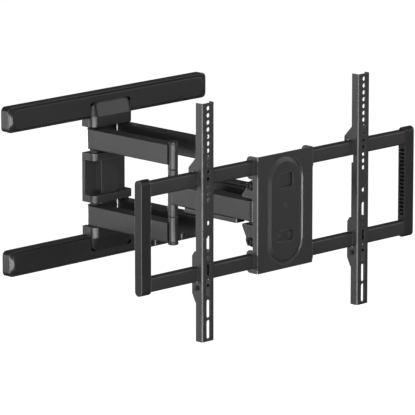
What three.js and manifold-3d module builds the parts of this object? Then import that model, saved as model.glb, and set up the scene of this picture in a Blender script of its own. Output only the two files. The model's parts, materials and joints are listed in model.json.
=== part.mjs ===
// Full-motion television wall mount with two folding arms, millimetres, +Z up.
// The wall is the plane Y = 0 and the screen side faces -Y. The origin lies on the
// wall face of the centre column, halfway between the two wall rails.
import * as THREE from 'three';
import { mergeVertices } from 'three/addons/utils/BufferGeometryUtils.js';
import Module from 'manifold-3d';

const wasm = await Module();
wasm.setup();

// ---- Driving dimensions ----------------------------------------------------
const gap = 0.3; // clearance between pieces that touch
const railLength = 503; // wall rail covers, end to end
const railHeight = 47;
const railDepth = 19; // wall to the edge of the cover's face
const railSpacing = 266; // between the rails' centre lines
const coverWall = 2.2;
const coverCorner = 9;
const coverCrown = 4; // how far the raised face stands out
const crownBorder = 1.2; // flat rim round the crown
const crownEnd = 6; // extra rim at each end of the crown, both together
const channelWall = 2.5; // steel of the rails and the column
const lagSlotLength = 30;
const lagSlotWidth = 9;
const lagPitch = 101.6; // a quarter of the 406.4 mm stud spacing

const pivotSpacing = 75; // between the left and right arm pivots
const pivotDepth = 19.1; // wall to the arm pivots
const linkLength = 205; // pivot to pivot, on every arm
const armWidth = 27;
const armHeight = 38;
const armWall = 2;
const armRise = 72; // forearm centre to the upper or lower arm's centre
const armRound = 2.4; // long edges of the arm tubes
const pinRadius = 5;
const pinClearance = 0.3;
const collarRadius = 8.5;
const collarHeight = 5.5; // arm to the flange below it
const upperCollar = 8.5; // upper arm to the middle bracket
const footCollar = 2.2; // arm to the bracket at a wall rail
const endBlock = 12; // solid metal past a pivot, inside an arm's end

const bracketWidth = 102;
const flangeThickness = 13;
const bracketWall = 7;
const columnWidth = 40;
const columnPocket = 9; // depth of the hollow in the column
const hoodWall = 2.4;
const hoodBand = 20.5; // upright part of a hood
const hoodHeight = 46;
const clipStart = 112; // middle of the first cable clip
const clipPitch = 69;
const clipWidth = 16;
const clipDepth = 10;
const clipHeight = 12;

const postRadius = 9.35;
const postSplit = 43.4; // height of the joints in the elbow post
const capRadius = postRadius + 0.85;
const capHeight = 4.6;
const elbowPinRadius = 4;
const tongueLength = 20;

const coverToElbow = 39; // cable covers, clear of the elbow and of the head
const trayToHead = 32;
const lidToHead = 17;
const trayThickness = 8;
const lidThickness = 4;

const yokeWidth = 106;
const yokeSheet = 4;
const yokeReach = 14.5; // head pivots to the back of the yoke
const cheekTip = 10; // metal past a tilt bolt
const tiltReach = 8; // tilt bolts, ahead of the head pivots
const earTip = 9;
const earRise = 5; // yoke flange to the near edge of a tilt bracket ear
const tiltHingeHeight = 47; // of the upper tilt bolts
const tiltClampDrop = 101; // upper tilt bolts to the lower ones
const tiltDown = 10; // degrees the arc slot allows each way
const tiltUp = 5;
const knobRadius = 8;
const knobWidth = 5.5;
const boltRadius = 3;
const boltTail = 4;

const plateWidth = 142;
const plateHeight = 211;
const sheet = 2; // plate and screen rail steel
const plateFlange = 12;
const plateSetback = 2; // screen rail faces stand this far ahead of the plate
const embossWidth = 89;
const embossHeight = 196;
const embossBand = 9; // steep outside, sloping inside
const embossDepth = 2.4;
const embossDraft = 1.7; // how far the ring's steep side leans in
const plateBend = 2.6; // outside radius of the plate's folds
const windowHeight = 55; // centre of the upper window
const windowWidth = 38;
const windowTall = 26;
const recessHeight = -46; // centre of the lower opening
const recessWidth = 48;
const recessTall = 20;
const recessRim = 1.5; // wall of the collar behind the lower opening
const levelScrewPitch = 25.6;
const rollHeight = 10; // of the rivet the plate rolls on
const studRadius = 2.5;
const studHead = 1.2;
const headToScreen = 43.5; // head pivots to the screen rail faces
const screenFace = pivotDepth + 2 * linkLength + headToScreen;
const tubeHeight = 27;
const tubeDepth = 15;
const tubeWall = 1.6;
const tubeCorner = 4;
const tubeSpacing = 169;
const frameWidth = 693;
const endCapWidth = 23;
const endCapWall = 3;
const endCapMargin = 0.9;
const endCapRound = 8.3;
const endCapOverhang = 3.6; // past the tubes, above and below
const endCapRibPitch = 7;
const tubeSink = 3.6; // the tubes reach this far in between the plate's flanges
const earReach = 27.5; // plate front to the back of an ear
const earMargin = 7;
const earRound = 9;

const screenRailHeight = 425;
const screenRailWidth = 30;
const screenRailFlange = 16; // left flange
const screenRailReturn = 11.5; // right flange
const screenRailBend = 3.6;
const screenRailLift = 8; // its middle above the arms' middle
const screenHoles = 400; // sideways pitch of the screen rails
const leftRailInset = 4.5; // the left rail stands this much nearer the middle
const holePitch = 12.5;
const firstHole = 9.4; // below the rail's top
const smallHoles = 14;
const slotLength = 33.5;
const holeRadius = 4;
const slotHalfWidth = 4;
const hookReach = 34; // screen rail front to the back of its hooks
const screwRadius = 2.5;
const screwHeadRadius = 4;

// ---- Colours ---------------------------------------------------------------
const steelBlack = { color: 0x3a3a3b, roughness: 0.55, metalness: 0.35 };
const satinPin = { color: 0x8a8c8e, roughness: 0.35, metalness: 0.9 };
const plasticBlack = { color: 0x232425, roughness: 0.6, metalness: 0.0 };
const gripBlack = { color: 0x141414, roughness: 0.7, metalness: 0.0 };

// ---- Solids and their helpers ----------------------------------------------
const round = 2; // fineness of the arcs in an outline: four steps to a corner
const ring = 24; // segments round a pin or bore

function solid(geometry) {
  const bare = geometry.index ? geometry.toNonIndexed() : geometry.clone();
  bare.deleteAttribute('normal');
  bare.deleteAttribute('uv');
  const merged = mergeVertices(bare, 1e-4);
  const vertProperties = new Float32Array(merged.attributes.position.array);
  const triVerts = new Uint32Array(merged.index.array);
  return new wasm.Manifold(new wasm.Mesh({ numProp: 3, vertProperties, triVerts }));
}

function geometryOf(body) {
  const mesh = body.getMesh();
  const geometry = new THREE.BufferGeometry();
  const points = new Float32Array(mesh.vertProperties);
  geometry.setAttribute('position', new THREE.BufferAttribute(points, 3));
  geometry.setIndex(new THREE.BufferAttribute(new Uint32Array(mesh.triVerts), 1));
  const flat = geometry.toNonIndexed();
  flat.computeVertexNormals();
  return flat;
}

const join = (...bodies) => bodies.reduce((sum, body) => sum.add(body));
const cut = (body, ...tools) => tools.reduce((rest, tool) => rest.subtract(tool), body);

function extrude(shape, depth) {
  return new THREE.ExtrudeGeometry(shape, { depth, bevelEnabled: false, curveSegments: round });
}

// An outline in plan (x, y), standing from z0 to z1.
function upright(shape, z0, z1) {
  return solid(extrude(shape, z1 - z0).translate(0, 0, z0));
}

// Turns an extrusion along +Z to run along -Y, its outline's y upwards.
function turnForward(geometry) {
  const axes = new THREE.Matrix4().makeBasis(
    new THREE.Vector3(1, 0, 0), new THREE.Vector3(0, 0, 1), new THREE.Vector3(0, -1, 0));
  return geometry.applyMatrix4(axes);
}

// An outline seen from the front (x, z), from y0 back to y1.
function facing(shape, y0, y1) {
  return solid(turnForward(extrude(shape, y1 - y0)).translate(0, y1, 0));
}

// An outline seen from the side (y, z), from x0 to x1.
function sideways(shape, x0, x1) {
  const geometry = extrude(shape, x1 - x0);
  const axes = new THREE.Matrix4().makeBasis(
    new THREE.Vector3(0, 1, 0), new THREE.Vector3(0, 0, 1), new THREE.Vector3(1, 0, 0));
  return solid(geometry.applyMatrix4(axes).translate(x0, 0, 0));
}

function block(x0, x1, y0, y1, z0, z1) {
  const geometry = new THREE.BoxGeometry(x1 - x0, y1 - y0, z1 - z0);
  return solid(geometry.translate((x0 + x1) / 2, (y0 + y1) / 2, (z0 + z1) / 2));
}

function rodZ(x, y, z0, z1, radius) {
  const geometry = new THREE.CylinderGeometry(radius, radius, z1 - z0, ring);
  return solid(geometry.rotateX(Math.PI / 2).translate(x, y, (z0 + z1) / 2));
}

function rodX(x0, x1, y, z, radius) {
  const geometry = new THREE.CylinderGeometry(radius, radius, x1 - x0, ring);
  return solid(geometry.rotateZ(Math.PI / 2).translate((x0 + x1) / 2, y, z));
}

function rodY(x, y0, y1, z, radius) {
  const geometry = new THREE.CylinderGeometry(radius, radius, y1 - y0, ring);
  return solid(geometry.translate(x, (y0 + y1) / 2, z));
}

function outline(points) {
  return new THREE.Shape(points.map(([a, b]) => new THREE.Vector2(a, b)));
}

// A rectangle with its corners rounded, centred on (a, b).
function rounded(a, b, width, height, radius) {
  const r = Math.min(radius, width / 2 - 0.01, height / 2 - 0.01);
  const [left, right] = [a - width / 2, a + width / 2];
  const [low, high] = [b - height / 2, b + height / 2];
  const shape = new THREE.Shape();
  shape.moveTo(left + r, low);
  shape.lineTo(right - r, low);
  shape.absarc(right - r, low + r, r, -Math.PI / 2, 0, false);
  shape.lineTo(right, high - r);
  shape.absarc(right - r, high - r, r, 0, Math.PI / 2, false);
  shape.lineTo(left + r, high);
  shape.absarc(left + r, high - r, r, Math.PI / 2, Math.PI, false);
  shape.lineTo(left, low + r);
  shape.absarc(left + r, low + r, r, Math.PI, 1.5 * Math.PI, false);
  return shape;
}

// A plan outline against the wall whose two front corners are round.
function wallOutline(halfWidth, back, front, radius) {
  const shape = new THREE.Shape();
  shape.moveTo(halfWidth, back);
  shape.lineTo(-halfWidth, back);
  shape.lineTo(-halfWidth, front + radius);
  shape.absarc(-halfWidth + radius, front + radius, radius, Math.PI, 1.5 * Math.PI, false);
  shape.lineTo(halfWidth - radius, front);
  shape.absarc(halfWidth - radius, front + radius, radius, -Math.PI / 2, 0, false);
  return shape;
}

// ---- The object ------------------------------------------------------------
const part = new THREE.Group();

// A strip folded into a channel that opens towards the wall, from z0 up to z1.
function channel(x, width, front, depth, bend, z0, z1) {
  const outer = upright(wallOutline(width / 2, front + depth, front, bend), z0, z1);
  const inner = upright(wallOutline(width / 2 - sheet, front + depth + 1, front + sheet, bend - sheet),
    z0 - 1, z1 + 1);
  return cut(outer, inner).translate([x, 0, 0]);
}

function place(name, body, look) {
  const mesh = new THREE.Mesh(geometryOf(body), new THREE.MeshStandardMaterial(look));
  mesh.name = name;
  part.add(mesh);
}

const sides = [['left', -1], ['right', 1]];
const ends = [['upper', 1], ['lower', -1]];
const pivotX = pivotSpacing / 2;
const wallPivotY = -pivotDepth;
const elbowY = wallPivotY - linkLength;
const headY = elbowY - linkLength;
const armHalf = armWidth / 2;
const armTop = armRise + armHeight / 2;
const armLow = armRise - armHeight / 2;
const boreRadius = pinRadius + pinClearance;
const bracketFront = wallPivotY - armHalf;
const railInner = railSpacing / 2 - railHeight / 2; // from the middle to a rail's near edge
const footLow = armTop + footCollar;
// The middle bracket's two flanges, from its middle to each outer face.
const flangeTop = { 1: armLow - upperCollar, [-1]: armLow - collarHeight };

// A span with its low value first, on the upper (1) or lower (-1) side.
const span = (end, a, b) => [Math.min(end * a, end * b), Math.max(end * a, end * b)];

// ---- Wall rails and their covers -------------------------------------------
function wallRail(centre) {
  const inset = coverWall + 0.5;
  const halfLength = railLength / 2 - coverCorner;
  const halfHeight = railHeight / 2 - inset;
  const front = -(railDepth - inset);
  const body = block(-halfLength, halfLength, front, 0, centre - halfHeight, centre + halfHeight);
  const hollow = block(-halfLength - 1, halfLength + 1, front - 1, -channelWall,
    centre - halfHeight + channelWall, centre + halfHeight - channelWall);
  const slots = [-2, -1, 1, 2].map((step) => facing(
    rounded(step * lagPitch, centre, lagSlotLength, lagSlotWidth, lagSlotWidth / 2), -channelWall - 1, 1));
  return cut(body, hollow, ...slots);
}

// The cover's face stands out as a crown with sloping edges and round ends.
function coverCrownBody(centre) {
  const height = railHeight - 2 * crownBorder - 2 * coverCrown;
  const shape = rounded(0, centre, railLength - 2 * crownBorder - 2 * coverCrown - crownEnd, height, height / 2);
  const crown = new THREE.ExtrudeGeometry(shape, { depth: 1, bevelEnabled: true, bevelSegments: 1,
    bevelThickness: coverCrown, bevelSize: coverCrown, curveSegments: round });
  return solid(turnForward(crown).translate(0, -railDepth + 1, 0));
}

function railCover(centre) {
  const shell = facing(rounded(0, centre, railLength, railHeight, coverCorner), -railDepth, -0.5);
  const pocket = facing(rounded(0, centre, railLength - 2 * coverWall, railHeight - 2 * coverWall,
    coverCorner - coverWall), -railDepth + coverWall, 1);
  return cut(join(shell, coverCrownBody(centre)), pocket);
}

// ---- Centre column and its three brackets ----------------------------------
function centreColumn() {
  const half = columnWidth / 2;
  const tall = railInner - gap;
  const body = block(-half, half, wallPivotY, 0, -tall, tall);
  const hollow = block(-half + channelWall, half - channelWall, -channelWall - columnPocket, -channelWall,
    -tall - 1, tall + 1);
  return cut(body, hollow);
}

function columnRoom() {
  const half = columnWidth / 2 + gap;
  return block(-half, half, wallPivotY - gap, 1, -railSpacing, railSpacing);
}

function wallBores() {
  return sides.map(([, side]) => rodZ(side * pivotX, wallPivotY, -railSpacing, railSpacing, boreRadius));
}

function midBracket() {
  const half = bracketWidth / 2;
  const plan = wallOutline(half, 0, bracketFront, half - pivotX);
  const flanges = ends.map(([, end]) =>
    upright(plan, ...span(end, flangeTop[end] - flangeThickness, flangeTop[end])));
  const back = block(-half, half, -bracketWall, 0, -flangeTop[-1], flangeTop[1]);
  return cut(join(back, ...flanges), columnRoom(), ...wallBores());
}

// The bracket between a wall rail and the arm next to it: a broad foot on the wall
// and a narrower nose that the hood covers.
function footBracket(end) {
  const half = bracketWidth / 2;
  const inset = hoodWall + gap;
  const top = railInner - gap;
  const foot = upright(wallOutline(half, 0, wallPivotY + 1, 0.5), ...span(end, footLow, top));
  const nose = upright(wallOutline(half - inset, -1, bracketFront + inset, half - pivotX - inset),
    ...span(end, footLow, top));
  return cut(join(foot, nose), columnRoom(), ...wallBores());
}

// A moulded cap over the nose: an upright band, then a slope back to the rail's face.
function hood(end) {
  const half = bracketWidth / 2;
  const back = wallPivotY + 1 - gap;
  const low = footLow;
  const high = low + hoodHeight;
  const railFace = -railDepth - coverCrown - gap;
  const profile = outline([[back, end * low], [bracketFront, end * low],
    [bracketFront, end * (low + hoodBand)], [railFace - 1.5, end * high], [back, end * high]]);
  const innerProfile = outline([[back + 1, end * (low - 1)], [bracketFront + hoodWall, end * (low - 1)],
    [bracketFront + hoodWall, end * (low + hoodBand)],
    [railFace - 1.5 + hoodWall, end * (high - hoodWall)], [back + 1, end * (high - hoodWall)]]);
  const plan = upright(wallOutline(half, back, bracketFront, half - pivotX), -railSpacing, railSpacing);
  const innerPlan = upright(wallOutline(half - hoodWall, back + 1, bracketFront + hoodWall,
    half - pivotX - hoodWall), -railSpacing, railSpacing);
  const shell = cut(plan.intersect(sideways(profile, -half, half)),
    innerPlan.intersect(sideways(innerProfile, -half, half)));
  const railRoom = block(-half - 1, half + 1, railFace, 1, ...span(end, railInner - gap, railSpacing));
  return cut(shell, railRoom);
}

// A pin through one arm, the rail's bracket and one flange of the middle bracket, with
// the bearing collars pressed on it.
function wallPin(side, end) {
  const x = side * pivotX;
  const inner = flangeTop[end];
  const collar = (from, to) => rodZ(x, wallPivotY, ...span(end, from + gap, to - gap), collarRadius);
  const shank = rodZ(x, wallPivotY, ...span(end, inner - flangeThickness, railInner - gap), pinRadius);
  return join(shank, collar(armTop, footLow), collar(inner, armLow));
}

function cableClip(x) {
  const z = -railSpacing / 2 - railHeight / 4;
  const y = -railDepth - coverCrown - gap;
  const outer = upright(rounded(x, y - clipDepth / 2, clipWidth, clipDepth, 3), z - clipHeight / 2, z + clipHeight / 2);
  const channel = upright(rounded(x, y - clipDepth / 2, clipWidth - 5, clipDepth - 4, 2), z - clipHeight, z + clipHeight);
  const mouth = block(x - 1.5, x + 1.5, y - clipDepth - 1, y - clipDepth / 2, z - clipHeight, z + clipHeight);
  return cut(outer, channel, mouth);
}

// ---- Arms ------------------------------------------------------------------
// A box tube with soft edges along Y, between y0 and y1.
function tubeBody(x, centre, y0, y1, inset) {
  return facing(rounded(x, centre, armWidth - 2 * inset, armHeight - 2 * inset, armRound - inset), y0, y1);
}

// Keeps what lies inside a round end on the pivot. toward is 1 where the round points
// at the wall and -1 where it points away.
function roundEnd(x, centre, pivotY, toward) {
  const shape = new THREE.Shape();
  shape.moveTo(x + armHalf, pivotY);
  shape.absarc(x, pivotY, armHalf, 0, toward * Math.PI / 2, toward < 0);
  shape.absarc(x, pivotY, armHalf, toward * Math.PI / 2, Math.PI, toward < 0);
  shape.lineTo(x - armHalf, pivotY - toward * 2 * linkLength);
  shape.lineTo(x + armHalf, pivotY - toward * 2 * linkLength);
  return upright(shape, centre - armHeight, centre + armHeight);
}

function firstArm(side, end) {
  const x = side * pivotX;
  const centre = end * armRise;
  const tube = tubeBody(x, centre, elbowY + 1.6, wallPivotY + armHalf, 0);
  const plug = wallPivotY - armHalf - endBlock;
  return cut(tube.intersect(roundEnd(x, centre, wallPivotY, 1)),
    tubeBody(x, centre, elbowY - 1, plug, armWall),
    rodZ(x, wallPivotY, centre - armHeight, centre + armHeight, boreRadius),
    rodZ(x, elbowY, centre - armHeight, centre + armHeight, postRadius + gap));
}

function forearm(side) {
  const x = side * pivotX;
  const start = elbowY - postRadius - 1.2;
  const tube = tubeBody(x, 0, headY - armHalf, start, 0);
  const plug = headY + armHalf + endBlock;
  return cut(tube.intersect(roundEnd(x, 0, headY, -1)), tubeBody(x, 0, plug, start + 1, armWall),
    rodZ(x, headY, -armHeight, armHeight, boreRadius));
}

// The elbow post is three knuckles on one pin. Each has a tongue inside its arm's tube.
function knuckle(side, z0, z1, tongueZ, tongueY0, tongueY1) {
  const x = side * pivotX;
  const inset = armWall + gap;
  const tongue = tubeBody(x, tongueZ, tongueY0, tongueY1, inset);
  const bore = rodZ(x, elbowY, z0 - 1, z1 + 1, elbowPinRadius + pinClearance);
  return cut(join(rodZ(x, elbowY, z0, z1, postRadius), tongue), bore);
}

function outerKnuckle(side, end) {
  const [z0, z1] = span(end, postSplit + gap / 2, armTop);
  return knuckle(side, z0, z1, end * armRise, elbowY + 3, elbowY + postRadius + tongueLength);
}

function middleKnuckle(side) {
  const half = postSplit - gap / 2;
  return knuckle(side, -half, half, 0, elbowY - postRadius - tongueLength, elbowY - 3);
}

function elbowCap(side, end) {
  const geometry = new THREE.CylinderGeometry(capRadius - 1, capRadius, capHeight, ring);
  geometry.rotateX(end * Math.PI / 2);
  return solid(geometry.translate(side * pivotX, elbowY, end * (armTop + gap + capHeight / 2)));
}

function elbowPin(side) {
  return rodZ(side * pivotX, elbowY, -armTop, armTop, elbowPinRadius);
}

// A clip-on cable cover: a plain tray under the left forearm, a grooved lid on the right one.
function cableCover(side) {
  const x = side * pivotX;
  const near = headY + (side > 0 ? lidToHead : trayToHead);
  const far = elbowY - coverToElbow;
  const low = armHeight / 2 + gap;
  const high = low + (side > 0 ? lidThickness : trayThickness);
  const plate = rounded(x, (near + far) / 2, armWidth - 2, far - near, 6);
  const body = upright(plate, ...span(side, low, high));
  if (side < 0) return body;
  const pitch = armWidth / 6;
  const grooves = [-2, -1, 0, 1, 2].map((step) => block(x + step * pitch - 0.9, x + step * pitch + 0.9,
    near - 1, far + 1, high - 1.2, high + 1));
  return cut(body, ...grooves);
}

// ---- Head yoke -------------------------------------------------------------
const yokeHalf = yokeWidth / 2;
const tiltY = headY - tiltReach;
const yokeBack = headY + yokeReach;
const yokeFront = headY - armHalf - 1.2;
const yokeLow = armHeight / 2 + collarHeight; // forearm centre to a flat flange
const yokeTop = yokeLow + yokeSheet;
const clampHeight = tiltHingeHeight - tiltClampDrop;
const boltHeights = [['upper', tiltHingeHeight], ['lower', clampHeight]];

function yokeCheek(side, boltZ) {
  const end = Math.sign(boltZ);
  const tip = boltZ + end * cheekTip;
  const plate = outline([[yokeBack, end * yokeLow], [yokeFront, end * yokeLow], [yokeFront, tip],
    [tiltY - 4, tip], [tiltY + cheekTip / 2, boltZ + end * 0.8 * cheekTip],
    [tiltY + cheekTip + 2.5, boltZ - end * 7], [yokeBack, end * yokeTop]]);
  return sideways(plate, ...span(side, yokeHalf - yokeSheet, yokeHalf));
}

function headYoke() {
  const flanges = ends.map(([, end]) =>
    block(-yokeHalf, yokeHalf, yokeFront, yokeBack, ...span(end, yokeLow, yokeTop)));
  const web = block(-yokeHalf, yokeHalf, yokeFront - yokeSheet, yokeFront, -yokeTop, yokeTop);
  const cheeks = sides.flatMap(([, side]) => boltHeights.map(([, z]) => yokeCheek(side, z)));
  const pinBores = sides.map(([, side]) =>
    rodZ(side * pivotX, headY, -yokeTop - 1, yokeTop + 1, boreRadius));
  const boltBores = boltHeights.map(([, z]) =>
    rodX(-yokeHalf - 1, yokeHalf + 1, tiltY, z, boltRadius + pinClearance));
  return cut(join(web, ...flanges, ...cheeks), ...pinBores, ...boltBores);
}

function headPin(side) {
  const x = side * pivotX;
  const collars = ends.map(([, end]) =>
    rodZ(x, headY, ...span(end, armHeight / 2 + gap, yokeLow - gap), collarRadius));
  return join(rodZ(x, headY, -yokeTop, yokeTop, pinRadius), ...collars);
}

// ---- Tilt bracket and its clamp knobs --------------------------------------
const plateFront = -(screenFace - plateSetback);
const plateBack = plateFront + sheet;
const tiltFace = plateBack + embossDepth + gap; // front of the tilt bracket
const earOuter = yokeHalf - yokeSheet - gap;

// Where the lower bolt passes: a slot on a circle round the upper bolts.
function tiltSlot() {
  const half = boltRadius + pinClearance;
  const [from, to] = [tiltUp + 1, -tiltDown - 1].map((angle) => (angle - 90) * Math.PI / 180);
  const shape = new THREE.Shape();
  const at = (angle) => [tiltY + tiltClampDrop * Math.cos(angle), tiltHingeHeight + tiltClampDrop * Math.sin(angle)];
  shape.absarc(tiltY, tiltHingeHeight, tiltClampDrop + half, to, from, false);
  shape.absarc(...at(from), half, from, from + Math.PI, false);
  shape.absarc(tiltY, tiltHingeHeight, tiltClampDrop - half, from, to, true);
  shape.absarc(...at(to), half, to + Math.PI, to + 2 * Math.PI, false);
  return sideways(shape, -yokeHalf, yokeHalf);
}

function tiltEar(side, boltZ) {
  const end = Math.sign(boltZ);
  const reach = end > 0 ? earTip : tiltClampDrop * Math.sin(tiltUp * Math.PI / 180) + earTip;
  const plate = outline([[tiltFace, end * (yokeTop + earRise)], [tiltY + reach - 3, end * (yokeTop + earRise)],
    [tiltY + reach, boltZ], [tiltY + reach - 4, boltZ + end * earTip], [tiltFace, boltZ + end * earTip]]);
  return sideways(plate, ...span(side, earOuter - yokeSheet, earOuter));
}

function tiltBracket() {
  const top = windowHeight + windowTall / 2 + 4;
  const face = block(-earOuter, earOuter, tiltFace, tiltFace + sheet, clampHeight - earTip, top);
  const ears = sides.flatMap(([, side]) => boltHeights.map(([, z]) => tiltEar(side, z)));
  const hingeBore = rodX(-yokeHalf, yokeHalf, tiltY, tiltHingeHeight, boltRadius + pinClearance);
  const studBore = rodY(0, tiltFace - 1, tiltFace + sheet + 1, rollHeight, studRadius + pinClearance);
  const screwBores = sides.map(([, side]) =>
    rodY(side * levelScrewPitch / 2, tiltFace - 1, tiltFace + sheet + 1, recessHeight, boltRadius - 0.5));
  return cut(join(face, ...ears), hingeBore, tiltSlot(), studBore, ...screwBores);
}

// A fluted grip on a bolt that runs in through the cheek and the ear.
function tiltKnob(side, z) {
  const start = yokeHalf + gap;
  const shape = new THREE.Shape();
  const flutes = 8;
  const steps = flutes * 4;
  for (let i = 0; i < steps; i += 1) {
    const angle = 2 * Math.PI * i / steps;
    const radius = knobRadius - 0.7 + 0.7 * Math.cos(flutes * angle);
    const point = [tiltY + radius * Math.cos(angle), z + radius * Math.sin(angle)];
    if (i === 0) shape.moveTo(...point);
    else shape.lineTo(...point);
  }
  const grip = sideways(shape, ...span(side, start, start + knobWidth));
  const shank = rodX(...span(side, earOuter - yokeSheet - boltTail, start + 1), tiltY, z, boltRadius);
  return join(grip, shank);
}

// ---- Screen frame ----------------------------------------------------------
const tubeY = plateBack + plateFlange + tubeDepth / 2 - tubeSink;
const tubeZ = tubeSpacing / 2;
const frameHalf = frameWidth / 2;

// The hollow that a frame tube leaves in whatever it passes through.
function tubeRoom(end, x0, x1) {
  return sideways(rounded(tubeY, end * tubeZ, tubeDepth + 2 * gap, tubeHeight + 2 * gap, tubeCorner + gap), x0, x1);
}

function plateEar(side, end) {
  const half = plateHeight / 2;
  const low = tubeZ - tubeHeight / 2 - earMargin;
  const back = plateFront + earReach;
  const shape = rounded(back - earReach / 2, end * (low + half) / 2, earReach, half - low, earRound);
  return sideways(shape, ...span(side, plateWidth / 2 - sheet, plateWidth / 2));
}

function stadium(inset, y0, y1) {
  const width = embossWidth - 2 * inset;
  return facing(rounded(0, 0, width, embossHeight - 2 * inset, width / 2), y0, y1);
}

// The same stadium, narrower by draft a distance embossDepth behind y.
function taperedStadium(inset, draft, y, depth) {
  const width = embossWidth - 2 * (inset + draft);
  const shape = rounded(0, 0, width, embossHeight - 2 * (inset + draft), width / 2);
  const body = new THREE.ExtrudeGeometry(shape, { depth, bevelEnabled: true, bevelSegments: 1,
    bevelThickness: embossDepth, bevelSize: draft, bevelOffset: 0, curveSegments: 2 * round });
  return solid(turnForward(body).translate(0, y, 0));
}

// A pressed ring: its outer side is steep and its inner side slopes back up to the face.
function pressedRing() {
  const foot = embossDraft + 0.3;
  const middle = taperedStadium(foot, embossBand - foot, plateFront + embossDepth + 1, 1);
  return cut(taperedStadium(0, embossDraft, plateFront, 2), middle, stadium(embossBand, plateFront - 6, 0));
}

function lowerOpening(rim, y0, y1) {
  const [width, tall] = [recessWidth + 2 * rim, recessTall + 2 * rim];
  return facing(rounded(0, recessHeight, width, tall, tall / 2), y0, y1);
}

function centrePlate() {
  const [half, tall] = [plateWidth / 2, plateHeight / 2];
  const ribBack = plateBack + embossDepth;
  const face = channel(0, plateWidth, plateFront, plateFlange, plateBend, -tall, tall);
  const rib = cut(stadium(-1.5, plateBack - 0.5, ribBack), stadium(embossBand, plateBack - 1, ribBack + 1));
  const rim = lowerOpening(recessRim, plateBack - 0.5, ribBack);
  const ears = sides.flatMap(([, side]) => ends.map(([, end]) => plateEar(side, end)));
  const rooms = ends.map(([, end]) => tubeRoom(end, -frameHalf, frameHalf));
  const window = facing(rounded(0, windowHeight, windowWidth, windowTall, 5), plateFront - 1, ribBack + 1);
  const opening = lowerOpening(0, plateFront - 1, ribBack + 1);
  const stud = rodY(0, plateFront - 1, plateBack + 1, rollHeight, studRadius + pinClearance);
  return cut(join(face, rib, rim, ...ears), pressedRing(), window, opening, stud, ...rooms);
}

// The rivet that the plate rolls on when it is levelled.
function rollStud() {
  const front = plateFront - studHead;
  return join(rodY(0, front + 0.2, tiltFace + sheet, rollHeight, studRadius),
    rodY(0, front, plateFront - gap, rollHeight, studRadius * 1.6));
}

function levelScrew(side) {
  const x = side * levelScrewPitch / 2;
  const face = tiltFace - gap;
  return join(rodY(x, face - 2, face, recessHeight, boltRadius + 1),
    rodY(x, face - 1, tiltFace + sheet + 3, recessHeight, boltRadius - 0.5 - gap));
}

function frameTube(end) {
  const half = frameHalf - endCapWall - gap;
  const outer = sideways(rounded(tubeY, end * tubeZ, tubeDepth, tubeHeight, tubeCorner), -half, half);
  const inner = sideways(rounded(tubeY, end * tubeZ, tubeDepth - 2 * tubeWall, tubeHeight - 2 * tubeWall,
    tubeCorner - tubeWall), -half - 1, half + 1);
  return cut(outer, inner);
}

function endCap(side) {
  const depth = tubeDepth + 2 * endCapMargin;
  const tall = tubeSpacing + tubeHeight + 2 * (endCapMargin + endCapOverhang);
  const body = sideways(rounded(tubeY, 0, depth, tall, endCapRound), ...span(side, frameHalf - endCapWidth, frameHalf));
  const rooms = ends.map(([, end]) => tubeRoom(end, ...span(side, 0, frameHalf - endCapWall)));
  const panel = tubeSpacing - tubeHeight - 16;
  const ribs = Math.round(panel / endCapRibPitch);
  const pitch = panel / ribs;
  const pockets = Array.from({ length: ribs }, (_, i) => {
    const z = -panel / 2 + (i + 0.5) * pitch;
    return block(...span(side, 0, frameHalf - endCapWall), tubeY - depth / 2 + 3, tubeY + depth / 2 - 3,
      z - pitch / 2 + 1, z + pitch / 2 - 1);
  });
  return cut(body, ...rooms, ...pockets);
}

// ---- Screen rails ----------------------------------------------------------
const railFront = -screenFace;
const screenRailTop = screenRailLift + screenRailHeight / 2;

const railX = (side) => side * screenHoles / 2 + (side < 0 ? leftRailInset : 0);

// Every hole and slot of a screen rail, as [distance below its top, length].
function railOpenings() {
  const small = Array.from({ length: smallHoles }, (_, i) => [firstHole + i * holePitch, 0]);
  const straight = slotLength - 2 * slotHalfWidth;
  const long = [0, 1, 2].map((i) => [screenRailHeight - slotLength / 2 - 5 - i * 3 * holePitch, straight]);
  const middle = screenRailHeight / 2 + 0.5;
  return [...small, [middle, 0], [middle + 3 * holePitch, 2 * holePitch - 3],
    [middle + 5 * holePitch, 0], [middle + 6.6 * holePitch, 1.3 * holePitch], ...long];
}

function railOpening(x, drop, length) {
  const half = length > 0 ? slotHalfWidth : holeRadius;
  const shape = rounded(x, screenRailTop - drop, 2 * half, length + 2 * half, half);
  return facing(shape, railFront - 1, railFront + sheet + 1);
}

function upperHook(x0, x1) {
  const back = railFront + hookReach;
  const low = tubeZ - tubeHeight / 4;
  const shape = outline([[railFront + 4, tubeZ + tubeHeight + 11], [back - 17, tubeZ + tubeHeight + 11],
    [back, tubeZ + tubeHeight / 2 + 6], [back, low], [railFront + 4, low]]);
  return sideways(shape, x0, x1);
}

function lowerHook(x0, x1) {
  const back = railFront + hookReach * 3 / 4;
  const shape = outline([[railFront + 4, -tubeZ + 41], [back - 6, -tubeZ + 41], [back, -tubeZ + 33],
    [back, -tubeZ - 34], [back - 8, -tubeZ - 50], [railFront + 4, -tubeZ - 50]]);
  return sideways(shape, x0, x1);
}

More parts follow.
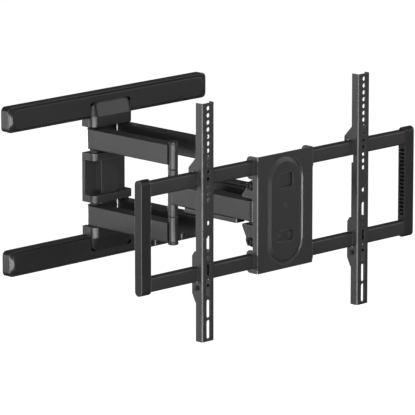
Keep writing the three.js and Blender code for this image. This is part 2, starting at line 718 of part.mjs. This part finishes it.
function screenRail(side) {
  const x = railX(side);
  const half = screenRailWidth / 2;
  const low = screenRailTop - screenRailHeight;
  const walls = sides.map(([, edge]) => [x + edge * half, x + edge * (half - sheet)].sort((a, b) => a - b));
  const strip = channel(x, screenRailWidth, railFront, screenRailFlange, screenRailBend, low, screenRailTop);
  const trim = block(x + half - sheet - 0.5, x + half + 1, railFront + screenRailReturn,
    railFront + screenRailFlange + 1, low - 1, screenRailTop + 1);
  const hooks = walls.flatMap(([a, b]) => [upperHook(a, b), lowerHook(a, b)]);
  const [y0, y1] = [tubeY - tubeDepth / 2 - gap, tubeY + tubeDepth / 2 + gap];
  const upperRoom = block(x - half - 1, x + half + 1, y0, y1, tubeZ - tubeHeight, tubeZ + tubeHeight / 2 + gap);
  const lowerRoom = block(x - half - 1, x + half + 1, y0, railFront + 2 * hookReach,
    -tubeZ - tubeHeight / 2 - gap, -tubeZ + tubeHeight / 2 + gap);
  const screwBore = rodX(x - half - 1, x + half + 1, lockY, lockZ, screwRadius + pinClearance);
  const openings = railOpenings().map(([drop, length]) => railOpening(x, drop, length));
  return cut(join(cut(strip, trim), ...hooks), upperRoom, lowerRoom, screwBore, ...openings);
}

const lockZ = -tubeZ - tubeHeight / 2 - 10;
const lockY = railFront + 13;

// The screw that closes the lower hook behind its tube, with its head on the left.
function lockScrew(side) {
  const outer = railX(side) - screenRailWidth / 2;
  return join(rodX(outer - gap - 4, outer - gap, lockY, lockZ, screwHeadRadius),
    rodX(outer - gap - 1, outer + screenRailWidth + 3, lockY, lockZ, screwRadius));
}

// ---- Assembly --------------------------------------------------------------
const railPlaces = [['upper', railSpacing / 2], ['lower', -railSpacing / 2]];
for (const [name, centre] of railPlaces) {
  place(`wall_rail_${name}`, wallRail(centre), steelBlack);
  place(`rail_cover_${name}`, railCover(centre), plasticBlack);
}
place('centre_column', centreColumn(), steelBlack);
place('mid_bracket', midBracket(), steelBlack);
for (const [name, end] of ends) {
  place(`${name}_bracket`, footBracket(end), steelBlack);
  place(`${name}_hood`, hood(end), plasticBlack);
}
place('cable_clip_near', cableClip(clipStart), plasticBlack);
place('cable_clip_far', cableClip(clipStart + clipPitch), plasticBlack);
for (const [name, side] of sides) {
  for (const [level, end] of ends) {
    place(`wall_pin_${name}_${level}`, wallPin(side, end), satinPin);
    place(`arm_${name}_${level}`, firstArm(side, end), steelBlack);
    place(`elbow_knuckle_${name}_${level}`, outerKnuckle(side, end), steelBlack);
    place(`elbow_cap_${name}_${level}`, elbowCap(side, end), plasticBlack);
  }
  place(`forearm_${name}`, forearm(side), steelBlack);
  place(`elbow_knuckle_${name}_middle`, middleKnuckle(side), steelBlack);
  place(`elbow_pin_${name}`, elbowPin(side), satinPin);
  place(`cable_cover_${name}`, cableCover(side), plasticBlack);
  place(`head_pin_${name}`, headPin(side), satinPin);
  for (const [level, z] of boltHeights) {
    place(`tilt_knob_${name}_${level}`, tiltKnob(side, z), gripBlack);
  }
  place(`end_cap_${name}`, endCap(side), plasticBlack);
  place(`screen_rail_${name}`, screenRail(side), steelBlack);
  place(`lock_screw_${name}`, lockScrew(side), satinPin);
  place(`level_screw_${name}`, levelScrew(side), steelBlack);
}
place('head_yoke', headYoke(), steelBlack);
place('tilt_bracket', tiltBracket(), steelBlack);
place('centre_plate', centrePlate(), steelBlack);
place('roll_stud', rollStud(), steelBlack);
for (const [name, end] of ends) {
  place(`frame_tube_${name}`, frameTube(end), steelBlack);
}

export default part;
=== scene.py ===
import json
from math import cos, pi, radians, sin

import bmesh
import bpy
import numpy as np
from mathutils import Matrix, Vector


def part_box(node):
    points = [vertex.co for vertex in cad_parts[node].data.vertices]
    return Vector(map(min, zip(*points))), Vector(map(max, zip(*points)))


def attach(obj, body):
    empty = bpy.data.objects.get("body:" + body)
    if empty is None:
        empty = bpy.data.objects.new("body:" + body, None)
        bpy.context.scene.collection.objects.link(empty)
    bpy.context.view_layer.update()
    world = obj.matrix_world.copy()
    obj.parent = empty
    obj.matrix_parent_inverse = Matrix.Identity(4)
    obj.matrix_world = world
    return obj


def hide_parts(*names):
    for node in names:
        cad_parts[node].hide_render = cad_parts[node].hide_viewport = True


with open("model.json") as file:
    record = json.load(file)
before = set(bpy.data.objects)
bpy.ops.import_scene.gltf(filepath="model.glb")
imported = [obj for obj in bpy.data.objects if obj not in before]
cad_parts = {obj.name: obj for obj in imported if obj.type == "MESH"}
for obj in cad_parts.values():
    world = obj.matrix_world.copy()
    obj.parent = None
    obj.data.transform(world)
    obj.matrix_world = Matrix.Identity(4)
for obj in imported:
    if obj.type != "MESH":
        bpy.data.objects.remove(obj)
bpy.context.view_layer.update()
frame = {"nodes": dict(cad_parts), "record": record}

# The set: a pale sweep under the mount, which hangs in the air as it would on its wall.
# The camera stands well back at the left front, a little above, with a long lens.
camera_place = (-5.450, -5.725, 1.651)
camera_aim = (0.691, 0.691, -0.2125)
lens_length = 379.1
floor_height = -0.62
camera = bpy.data.objects.new("camera", bpy.data.cameras.new("camera"))
camera.data.lens = lens_length
camera.data.sensor_width = 36
camera.data.clip_end = 200
camera.location = camera_place
camera.rotation_euler = Vector(camera_aim).to_track_quat("-Z", "Y").to_euler()
bpy.context.scene.collection.objects.link(camera)
bpy.context.scene.camera = camera
bpy.context.scene.view_settings.view_transform = "Standard"


def sweep(width, depth, height):
    """A flat sheet, width by depth, at the given height."""
    x, y = width / 2, depth / 2
    mesh = bpy.data.meshes.new("floor")
    mesh.from_pydata([(-x, -y, height), (x, -y, height), (x, y, height), (-x, y, height)], [], [(0, 1, 2, 3)])
    floor = bpy.data.objects.new("floor", mesh)
    bpy.context.scene.collection.objects.link(floor)
    return floor


floor = sweep(60, 60, floor_height)
paper = bpy.data.materials.new("white sweep")
paper.use_nodes = True
sheet = paper.node_tree.nodes["Principled BSDF"]
sheet.inputs["Base Color"].default_value = (0.85, 0.85, 0.85, 1)
sheet.inputs["Roughness"].default_value = 0.9
sheet.inputs["Emission Color"].default_value = (1, 1, 1, 1)
sheet.inputs["Emission Strength"].default_value = 0.9
floor.data.materials.append(paper)
floor.visible_diffuse = floor.visible_glossy = False


def soft_light(name, place, aim, wide, tall, watts):
    """A rectangular light at a place, turned to look at its aim."""
    lamp = bpy.data.lights.new(name, "AREA")
    lamp.shape, lamp.size, lamp.size_y, lamp.energy = "RECTANGLE", wide, tall, watts
    holder = bpy.data.objects.new(name, lamp)
    holder.location = place
    holder.rotation_euler = (Vector(aim) - Vector(place)).to_track_quat("-Z", "Y").to_euler()
    holder.visible_camera = False
    bpy.context.scene.collection.objects.link(holder)


# Boxes light the fronts from the right and the sides from the left. The ones below and above
# the camera draw the bright lines along folds and round posts, and one more fills the back.
heart = (0, -0.3, 0)
lights = {  # place, aim, width, height, watts
    "front box": ((3.4, -3.6, 1.0), heart, 3.4, 2.6, 50),
    "side box": ((-3.6, 2.4, -0.2), heart, 3.4, 2.0, 72),
    "low box": ((-3.0, -3.4, -1.0), heart, 6.4, 1.3, 640),
    "high box": ((-3.3, -3.5, 2.2), heart, 2.4, 1.2, 90),
    "low front box": ((0.6, -4.6, -1.2), heart, 1.2, 0.9, 34),
    "back box": ((1.5, 4.2, -1.4), (0, -0.2, 0), 4.2, 1.6, 260),
}
for name, (place, aim, wide, tall, watts) in lights.items():
    soft_light(name, place, aim, wide, tall, watts)

# The room: white to look at, and nearly dark where it lights the metal.
room = bpy.data.worlds.new("room")
room.use_nodes = True
bpy.context.scene.world = room
tree = room.node_tree
tree.nodes.clear()
seen, lit = tree.nodes.new("ShaderNodeBackground"), tree.nodes.new("ShaderNodeBackground")
seen.inputs["Color"].default_value = (1, 1, 1, 1)
lit.inputs["Color"].default_value = (0.10, 0.10, 0.105, 1)
ray, pick = tree.nodes.new("ShaderNodeLightPath"), tree.nodes.new("ShaderNodeMixShader")
tree.links.new(ray.outputs["Is Camera Ray"], pick.inputs["Fac"])
tree.links.new(lit.outputs[0], pick.inputs[1])
tree.links.new(seen.outputs[0], pick.inputs[2])
tree.links.new(pick.outputs[0], tree.nodes.new("ShaderNodeOutputWorld").inputs["Surface"])

# The steel is pressed and folded, then powder coated: a fine pebbled skin, slightly uneven in tone, smoother
# along its edges from rubbing and paler there, partly from rubbing and partly as a painted highlight, with a
# little dust on what faces up.


def node_group(name, inputs, outputs):
    """An empty shader group whose inputs are {name: value} and whose outputs are floats."""
    group = bpy.data.node_groups.new(name, "ShaderNodeTree")
    for label, value in inputs.items():
        socket = group.interface.new_socket(label, in_out="INPUT", socket_type="NodeSocketFloat")
        socket.default_value = value
    for label in outputs:
        group.interface.new_socket(label, in_out="OUTPUT", socket_type="NodeSocketFloat")
    return group, group.nodes.new("NodeGroupInput"), group.nodes.new("NodeGroupOutput")


def wire(tree, kind, settings=None, **inputs):
    """A node of a kind, its sockets linked or set: n3 is the fourth one, and any other label is
    a name, in which an underscore stands for a space."""
    node = tree.nodes.new(kind)
    for label, value in (settings or {}).items():
        setattr(node, label, value)
    for label, value in inputs.items():
        numbered = label[0] == "n" and label[1:].isdigit()
        socket = node.inputs[int(label[1:]) if numbered else label.replace("_", " ")]
        if isinstance(value, bpy.types.NodeSocket):
            tree.links.new(value, socket)
        else:
            socket.default_value = value
    return node


def make_relief():
    """Pebbles: a noise plus half of one that is 2.3 times finer; and a slow cloud of tone."""
    group, given, out = node_group("pebbled_relief", {"Scale": 900.0, "Cloud": 9.0}, ["Height", "Tone"])
    place = group.nodes.new("ShaderNodeTexCoord").outputs["Object"]
    coarse = wire(group, "ShaderNodeTexNoise", Vector=place, Scale=given.outputs["Scale"], Detail=2.0)
    larger = wire(group, "ShaderNodeMath", {"operation": "MULTIPLY"}, n0=given.outputs["Scale"], n1=2.3)
    fine = wire(group, "ShaderNodeTexNoise", Vector=place, Scale=larger.outputs[0], Detail=1.0)
    half = wire(group, "ShaderNodeMath", {"operation": "MULTIPLY_ADD"}, n0=fine.outputs[0], n1=0.5,
                n2=coarse.outputs[0])
    cloud = wire(group, "ShaderNodeTexNoise", Vector=place, Scale=given.outputs["Cloud"], Detail=3.0)
    group.links.new(half.outputs[0], out.inputs["Height"])
    group.links.new(cloud.outputs[0], out.inputs["Tone"])
    return group


def make_dust():
    """Dust: how far a face points up, squared, times a patchy noise, times Amount."""
    group, given, out = node_group("settled_dust", {"Amount": 0.3}, ["Mask"])
    coord = group.nodes.new("ShaderNodeTexCoord")
    up = wire(group, "ShaderNodeSeparateXYZ", Vector=coord.outputs["Normal"]).outputs["Z"]
    over = wire(group, "ShaderNodeMath", {"operation": "MAXIMUM"}, n0=up, n1=0.0)
    square = wire(group, "ShaderNodeMath", {"operation": "POWER"}, n0=over.outputs[0], n1=2.0)
    patch = wire(group, "ShaderNodeTexNoise", Vector=coord.outputs["Object"], Scale=60.0, Detail=4.0)
    both = wire(group, "ShaderNodeMath", {"operation": "MULTIPLY"}, n0=square.outputs[0], n1=patch.outputs[0])
    mask = wire(group, "ShaderNodeMath", {"operation": "MULTIPLY"}, n0=both.outputs[0],
                n1=given.outputs["Amount"])
    group.links.new(mask.outputs[0], out.inputs["Mask"])
    return group


def make_rub_and_highlight():
    """Edges, for rubbing and for a painted highlight: one minus the cosine between the true normal and one
    softened over Width, times Gain, and at most one."""
    group, given, out = node_group("rubbed_edge_and_painted_highlight", {"Width": 0.0014, "Gain": 9.0}, ["Mask"])
    true = group.nodes.new("ShaderNodeNewGeometry").outputs["Normal"]
    soft = wire(group, "ShaderNodeBevel", {"samples": 4}, Radius=given.outputs["Width"])
    match = wire(group, "ShaderNodeVectorMath", {"operation": "DOT_PRODUCT"}, n0=true, n1=soft.outputs[0])
    miss = wire(group, "ShaderNodeMath", {"operation": "SUBTRACT"}, n0=1.0, n1=match.outputs["Value"])
    mask = wire(group, "ShaderNodeMath", {"operation": "MULTIPLY", "use_clamp": True}, n0=miss.outputs[0],
                n1=given.outputs["Gain"])
    group.links.new(mask.outputs[0], out.inputs["Mask"])
    return group


relief, dust, rub_and_highlight = make_relief(), make_dust(), make_rub_and_highlight()
dust_colour = (0.10, 0.098, 0.094, 1)
uneven = 0.06  # how far the roughness strays with the cloud
polish = 0.15  # how much of it a fully rubbed edge loses


def finish(name, dark, pale, dull, bump, scale=900.0, metal=0.0, wear_and_highlight=0.5, dusty=0.3, gloss=0.5,
           rub_and_highlight_tone=0.27):
    """A coated or moulded finish: its grey runs from dark to pale with the cloud, edges turn paler towards an
    edge tone, partly from rubbing and partly as a painted highlight, and smoother, by one share; dust lies on
    top, and dull is the roughness."""
    material = bpy.data.materials.new(name)
    material.use_nodes = True
    tree = material.node_tree
    shader = tree.nodes["Principled BSDF"]
    skin = wire(tree, "ShaderNodeGroup", {"node_tree": relief}, Scale=scale)
    edge = wire(tree, "ShaderNodeGroup", {"node_tree": rub_and_highlight})
    lint = wire(tree, "ShaderNodeGroup", {"node_tree": dust}, Amount=dusty)
    base = wire(tree, "ShaderNodeMix", {"data_type": "RGBA"}, n0=skin.outputs["Tone"], n6=(*dark, 1),
                n7=(*pale, 1))
    # The edge mask pales the colour, partly for rubbing and partly as a painted highlight, and lowers the
    # roughness.
    part = wire(tree, "ShaderNodeMath", {"operation": "MULTIPLY"}, n0=edge.outputs[0], n1=wear_and_highlight)
    rubbed_and_highlit = wire(tree, "ShaderNodeMix", {"data_type": "RGBA"}, n0=part.outputs[0], n6=base.outputs[2],
                  n7=(rub_and_highlight_tone, rub_and_highlight_tone, rub_and_highlight_tone, 1))
    dusted = wire(tree, "ShaderNodeMix", {"data_type": "RGBA"}, n0=lint.outputs[0], n6=rubbed_and_highlit.outputs[2],
                  n7=dust_colour)
    tree.links.new(dusted.outputs[2], shader.inputs["Base Color"])
    rough = wire(tree, "ShaderNodeMapRange", Value=skin.outputs["Tone"], To_Min=dull - uneven,
                 To_Max=dull + uneven)
    smooth = wire(tree, "ShaderNodeMath", {"operation": "MULTIPLY_ADD"}, n0=part.outputs[0], n1=-polish,
                  n2=rough.outputs[0])
    tree.links.new(smooth.outputs[0], shader.inputs["Roughness"])
    pebble = wire(tree, "ShaderNodeBump", Height=skin.outputs["Height"], Strength=bump, Distance=0.0004)
    tree.links.new(pebble.outputs[0], shader.inputs["Normal"])
    shader.inputs["Metallic"].default_value = metal
    shader.inputs["Specular IOR Level"].default_value = gloss
    return material


powder_coat = finish("black powder coat", (0.020, 0.020, 0.021), (0.030, 0.030, 0.032), 0.40, 0.16)

# Each piece sits where its solid does. A folded or welded piece keeps that solid's shape,
# with the sheared edges eased as the coating eases them.
body_of = {node: body for body, nodes in frame["record"]["behaviour"]["bodies"].items() for node in nodes}


def hang(piece, node, material):
    """Gives a piece its finish and its body, and hides the solid that it stands for."""
    piece.data.materials.clear()
    piece.data.materials.append(material)
    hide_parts(node)
    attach(piece, body_of[node])
    return piece


def face_weighted(mesh, limit=40.0):
    """Each corner's normal: the sum of area times normal over the faces round its vertex that
    turn less than limit degrees away from its own face, so that large flat faces stay flat."""
    count, sides = len(mesh.loops), len(mesh.polygons)
    vertex, total = np.empty(count, int), np.empty(sides, int)
    normal, area = np.empty(3 * sides), np.empty(sides)
    mesh.loops.foreach_get("vertex_index", vertex)
    mesh.polygons.foreach_get("loop_total", total)
    mesh.polygons.foreach_get("normal", normal)
    mesh.polygons.foreach_get("area", area)
    face = np.repeat(np.arange(sides), total)
    own = normal.reshape(-1, 3)[face]
    heavy = own * area[face, None]
    order = np.argsort(vertex, kind="stable")
    blend, at = heavy.copy(), vertex[order]
    for step in range(1, np.bincount(vertex).max()):
        a, b = order[:-step], order[step:]
        near = (at[:-step] == at[step:]) & (np.sum(own[a] * own[b], 1) > cos(radians(limit)))
        np.add.at(blend, a[near], heavy[b[near]])
        np.add.at(blend, b[near], heavy[a[near]])
    length = np.linalg.norm(blend, axis=1, keepdims=True)
    blend = np.where(length > 1e-14, blend / np.maximum(length, 1e-14), own)
    mesh.polygons.foreach_set("use_smooth", np.ones(sides, bool))
    mesh.normals_split_custom_set(blend.tolist())


def eased(node, material, ease=0.0006, limit=40.0):
    """A copy of a solid with its corners merged, flat faces joined and sharp edges rounded by
    ease. Faces that meet at less than limit degrees are shaded as one."""
    mesh = frame["nodes"][node].data.copy()
    mesh.name = f"{node}_finished"
    shape = bmesh.new()
    shape.from_mesh(mesh)
    bmesh.ops.remove_doubles(shape, verts=shape.verts, dist=2e-6)
    bmesh.ops.dissolve_limit(shape, angle_limit=radians(1), verts=shape.verts, edges=shape.edges)
    sharp = [edge for edge in shape.edges if edge.calc_face_angle(0) > radians(40)]
    bmesh.ops.bevel(shape, geom=sharp, offset=ease, segments=2, profile=0.5, affect="EDGES",
                    clamp_overlap=True)
    bmesh.ops.triangulate(shape, faces=[face for face in shape.faces if len(face.verts) > 4])
    shape.to_mesh(mesh)
    shape.free()
    face_weighted(mesh, limit)
    piece = bpy.data.objects.new(mesh.name, mesh)
    bpy.context.scene.collection.objects.link(piece)
    return hang(piece, node, material)


# Behind the covers lie two steel channels and the flat column that joins them. The
# brackets are thick, their front corners round about the arm pins.
for node in ("wall_rail_upper", "wall_rail_lower", "centre_column", "upper_bracket", "lower_bracket"):
    eased(node, powder_coat, ease=0.0009)
eased("mid_bracket", powder_coat, ease=0.0012)

# The rail covers are moulded shells: a square skirt, a fine groove, and a raised face with
# round ends and sloping sides. They snap over the steel channels.


def grid_mesh(name, rings, material, node, folded=False):
    """A skin over rings of points, (rings, points, 3), each ring closed on itself. The two end
    rings are closed by a fan to their middle or, if folded, by a strip from point i to point -i."""
    count, across = rings.shape[:2]
    points = np.vstack([rings.reshape(-1, 3), rings[0].mean(0), rings[-1].mean(0)])
    i, j = np.meshgrid(np.arange(count - 1), np.arange(across), indexing="ij")
    k = (j + 1) % across
    faces = np.stack([i * across + j, i * across + k, (i + 1) * across + k, (i + 1) * across + j], -1)
    faces = faces.reshape(-1, 4).tolist()
    for start, middle in ((0, count * across), ((count - 1) * across, count * across + 1)):
        ring = np.arange(across // 2 - 1 if folded else across)
        if folded:
            strip = [ring, across - 1 - ring, across - 2 - ring, ring + 1]
            faces += (start + np.stack(strip, -1)).tolist()
        else:
            fan = [start + (ring + 1) % across, start + ring, np.full(across, middle)]
            faces += np.stack(fan, -1).tolist()
    mesh = bpy.data.meshes.new(name)
    mesh.from_pydata(points.tolist(), [], faces)
    shape = bmesh.new()
    shape.from_mesh(mesh)
    bmesh.ops.remove_doubles(shape, verts=shape.verts, dist=1e-6)
    bmesh.ops.delete(shape, geom=[v for v in shape.verts if not v.link_faces], context="VERTS")
    bmesh.ops.recalc_face_normals(shape, faces=shape.faces)
    shape.to_mesh(mesh)
    shape.free()
    face_weighted(mesh)
    piece = bpy.data.objects.new(name, mesh)
    bpy.context.scene.collection.objects.link(piece)
    return hang(piece, node, material)


def soft_corners(wide, tall, radius, steps=8):
    """The outline of a wide by tall rectangle with round corners, as points (u, v): four
    quarter circles of the radius, joined by straight sides."""
    radius = min(radius, wide / 2 - 1e-6, tall / 2 - 1e-6)
    turn = np.linspace(0, pi / 2, steps)
    quarter = np.stack([np.cos(turn), np.sin(turn)], -1) * radius
    corners = []
    for k, (a, b) in enumerate(((1, 1), (-1, 1), (-1, -1), (1, -1))):
        c, s = cos(k * pi / 2), sin(k * pi / 2)
        corner = quarter @ np.array([[c, s], [-s, c]])
        corners.append(corner + [a * (wide / 2 - radius), b * (tall / 2 - radius)])
    return np.vstack(corners)


mm = 0.001
moulded = finish("moulded black plastic", (0.014, 0.014, 0.015), (0.020, 0.020, 0.021), 0.38, 0.10,
                 scale=1500.0, gloss=0.5, rub_and_highlight_tone=0.15)
cover_steps = [  # millimetres in from the side, in from the end and off the wall, and the corner radius
    (3.0, 3.0, 16.0, 6), (2.4, 2.4, 16.0, 6.5), (2.2, 2.2, 15.2, 7), (2.2, 2.2, 0.6, 7), (0.4, 0.4, 0.3, 8.8),
    (0, 0, 0.7, 9), (0, 0, 17.6, 9), (0.3, 0.3, 18.5, 9), (0.9, 0.9, 19.0, 9), (1.5, 1.6, 19.0, 9),
    (1.8, 2.0, 18.5, 10), (2.1, 2.6, 18.6, 11), (4.3, 7.6, 22.0, 16), (4.9, 8.6, 22.7, 17.5),
    (5.9, 9.8, 23.0, 17.6), (6.6, 10.6, 23.0, 17.0),
]
for node in ("rail_cover_upper", "rail_cover_lower"):
    low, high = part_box(node)
    middle = (low.z + high.z) / 2
    wide, tall = high.x - low.x, high.z - low.z
    rings = []
    for side, end, out, corner in cover_steps:
        edge = soft_corners(wide - 2 * end * mm, tall - 2 * side * mm, corner * mm)
        rings.append(np.stack([edge[:, 0], np.full(len(edge), -out * mm), edge[:, 1] + middle], -1))
    grid_mesh(f"{node}_shell", np.array(rings), moulded, node)

# The hoods are moulded caps over the brackets' noses: an upright band, round at its front
# corners, and a slope that runs back to the rail's face. The lower one is the upper one's mirror.
band_top = 0.0205  # upright part of a hood
notch = 0.0162  # below this the hood reaches behind the rail's edge
crest_height = 0.0075  # of the rounding along its top
corner_radius = 0.0135
hood_wall = 0.0022
rail_face = 0.0236
top_reach = 0.0252  # wall to the slope's upper end


def front_arc(half, out, radius, root, steps=10):
    """A quarter circle of radius about (half - radius, out - radius), from the side to the
    front; the part of it behind the depth root is left out."""
    first = np.arcsin(np.clip((root - out + radius) / radius, 0, 0.99))
    turn = np.linspace(first, pi / 2, steps)
    arc = np.stack([half - radius + radius * np.cos(turn), radius - out - radius * np.sin(turn)], -1)
    return np.vstack([[arc[0][0], -root], arc])


for node, up in (("upper_hood", 1), ("lower_hood", -1)):
    low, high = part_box(node)
    start, rise = (low.z, 1) if up > 0 else (high.z, -1)
    half, front, back, tall = high.x, -low.y, -high.y, high.z - low.z
    above = tall - np.array([0.0076, 0.0060, 0.0042, 0.0024, 0.0010, 0.0002, 0])
    level = np.array([0, 0.0007, 0.0015, notch - 0.0004, notch + 0.0004, band_top - 0.0009, band_top,
                      band_top + 0.0009, 0.030, *above])
    lean = np.clip((level - band_top) / (tall - band_top), 0, 1)
    crest = np.clip((level - tall + crest_height) / crest_height, 0, 1)
    slim = np.array([0.0006, 0.0002] + [0] * (len(level) - 2))
    reach = front - (front - top_reach) * lean - slim - 0.0006 * (1 - np.sqrt(1 - crest ** 2))
    width = half - slim - crest_height * (1 - np.sqrt(1 - crest ** 2))
    rings = []
    for z, y, w in zip(level, reach, width):
        root = back if z < notch else rail_face
        thin = min(hood_wall, (y - root) * 0.6)
        outer = front_arc(w, y, corner_radius, root)
        inner = front_arc(w - thin, y - thin, corner_radius - thin, root)
        if z > tall - crest_height:
            inner = np.column_stack([np.linspace(w, 0, len(outer)), np.full(len(outer), -root)])
        loop = np.vstack([outer, outer[::-1] * [-1, 1], inner * [-1, 1], inner[::-1]])
        rings.append(np.column_stack([loop, np.full(len(loop), start + rise * z)]))
    grid_mesh(f"{node}_cap", np.array(rings), moulded, node, folded=True)

# The arms are welded box tubes with small edge radii, plugged and drilled at their wall ends.
for side in ("left", "right"):
    for node in (f"arm_{side}_upper", f"arm_{side}_lower", f"forearm_{side}"):
        eased(node, powder_coat, ease=0.0004)

# Each elbow is a post of turned sleeves on one pin, welded to the tubes' ends; the joints
# between the sleeves show as dark lines, and a moulded button closes each end.


def turned(name, profile, axis, centre, material, node, flutes=0, depth=0.0, steps=48):
    """A surface of revolution about axis (0 x, 1 y, 2 z) through centre. profile is (radius,
    place along the axis). With flutes, radii above 0.7 of the largest are multiplied by
    one minus depth plus depth times the cosine of flutes times the angle."""
    angle = np.arange(steps) * 2 * pi / steps
    radius, along = np.array(profile, float).T
    wave = 1 + (np.cos(flutes * angle) - 1) * depth * (flutes > 0)
    scale = radius[:, None] * np.where(radius[:, None] > 0.7 * radius.max(), wave, 1)
    rings = np.zeros((len(profile), steps, 3))
    u, v = [k for k in range(3) if k != axis]
    rings[..., u] = scale * np.cos(angle) + centre[u]
    rings[..., v] = scale * np.sin(angle) + centre[v]
    rings[..., axis] = along[:, None]
    return grid_mesh(name, rings, material, node)


def chamfered(radius, start, end, edge=0.0007):
    """The profile of a turned bar from start up to end, with both rims cut back by edge."""
    rim = [(2, 0), (1, 0), (0.3, 0.3), (0, 1), (0, 2)]
    lower = [(radius - cut * edge, start + rise * edge) for cut, rise in rim]
    upper = [(radius - cut * edge, end - rise * edge) for cut, rise in reversed(rim)]
    return lower + upper


sleeve_radius = 0.00935
button_radius = 0.0102
sleeve = finish("satin black sleeve", (0.030, 0.030, 0.031), (0.040, 0.040, 0.042), 0.42, 0.05, gloss=0.62)
for side in ("left", "right"):
    low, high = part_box(f"elbow_pin_{side}")
    pin = (low + high) / 2
    for level in ("upper", "middle", "lower"):
        node = f"elbow_knuckle_{side}_{level}"
        low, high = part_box(node)
        turned(f"{node}_sleeve", chamfered(sleeve_radius, low.z, high.z, 0.0010), 2, pin, sleeve, node)
    for level, up in (("upper", 1), ("lower", -1)):
        node = f"elbow_cap_{side}_{level}"
        low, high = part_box(node)
        near, far = (low.z, high.z) if up > 0 else (high.z, low.z)
        dome = [(button_radius - 0.0002, near), (button_radius, near + up * 0.0008),
                (button_radius, near + up * 0.0026), (button_radius - 0.0006, near + up * 0.0038),
                (button_radius - 0.0020, far - up * 0.0002), (0.0060, far), (0.0001, far)]
        turned(f"{node}_button", dome, 2, pin, moulded, node)

# The cheeks' bolts end in moulded grips with scalloped rims and a dished face, so that the
# tilt is set by hand.
bolt_radius = 0.0030
rim_radius = 0.0080
rim_width = 0.0055
dish_radius = 0.0034
dish_depth = 0.0030
grip = finish("black grip", (0.006, 0.006, 0.006), (0.009, 0.009, 0.009), 0.45, 0.05, gloss=0.35,
              rub_and_highlight_tone=0.08)
for side, out in (("left", -1), ("right", 1)):
    for level in ("upper", "lower"):
        node = f"tilt_knob_{side}_{level}"
        low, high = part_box(node)
        centre = (low + high) / 2
        face, tail = (low.x, high.x) if out < 0 else (high.x, low.x)
        rim = face - out * rim_width
        bolt = [(0.0001, tail), (bolt_radius - 0.0006, tail), (bolt_radius, tail + out * 0.0006),
                (bolt_radius, rim), (rim_radius - 0.0010, rim), (rim_radius - 0.0003, rim + out * 0.0006),
                (rim_radius, rim + out * 0.0016), (rim_radius, face - out * 0.0018),
                (rim_radius - 0.0004, face - out * 0.0006), (rim_radius - 0.0012, face),
                (dish_radius + 0.0012, face), (dish_radius + 0.0002, face - out * 0.0008),
                (dish_radius, face - out * dish_depth), (0.0001, face - out * dish_depth)]
        turned(f"{node}_grip", bolt, 0, centre, grip, node, flutes=6, depth=0.07, steps=72)

# The arm pins are turned steel with pressed bearing collars, left bare: they show as short
# grey bars between the arms and the brackets.
steel = finish("satin steel", (0.05, 0.05, 0.05), (0.07, 0.07, 0.07), 0.7, 0.04, metal=0.2, wear_and_highlight=0.1,
               gloss=0.2, rub_and_highlight_tone=0.10)
for side in ("left", "right"):
    for node in (f"wall_pin_{side}_upper", f"wall_pin_{side}_lower", f"elbow_pin_{side}", f"head_pin_{side}"):
        eased(node, steel, ease=0.0005)

# Cables run along the arms in moulded channels: a tray under the left forearm, a ribbed lid
# on the right one, and two clips that hang from the lower rail's cover.
for node in ("cable_cover_left", "cable_cover_right", "cable_clip_near", "cable_clip_far"):
    eased(node, moulded, ease=0.0006)

# The head is a folded yoke between the forearms' pins. A second bracket tilts in it on four
# bolts, and carries the stud and the two screws that level the plate.
for node in ("head_yoke", "tilt_bracket", "roll_stud", "level_screw_left", "level_screw_right"):
    eased(node, powder_coat, ease=0.0005)

# The centre plate is pressed sheet: folded sides, ears that hold the tubes, a long pressed
# ring, a window and a recess for the levelling screws. Its slopes are flat, so they aren't blended.
eased("centre_plate", powder_coat, ease=0.0004, limit=14)

# Two box tubes carry the screen rails. Their ends sit in rough moulded caps that join them
# into a frame; the left cap's edges carry a strong painted highlight along its lit rounded edges, the right
# cap's only a faint one.
for level in ("upper", "lower"):
    eased(f"frame_tube_{level}", powder_coat, ease=0.0006)
for side, cap_edge_highlight_and_wear in (("left", 1.2), ("right", 0.15)):
    dull_plastic = finish(f"dull black plastic {side}", (0.008, 0.008, 0.008), (0.012, 0.012, 0.012),
                          0.5, 0.12, scale=1500.0, gloss=0.4, wear_and_highlight=cap_edge_highlight_and_wear, rub_and_highlight_tone=0.30)
    eased(f"end_cap_{side}", dull_plastic, ease=0.0018)

# The screen rails are folded channels, punched with the holes the screen is screwed to, and
# hook over the tubes. A screw in each rail's lower hook locks it.
for side in ("left", "right"):
    eased(f"screen_rail_{side}", powder_coat, ease=0.0003)
    eased(f"lock_screw_{side}", grip, ease=0.0006)
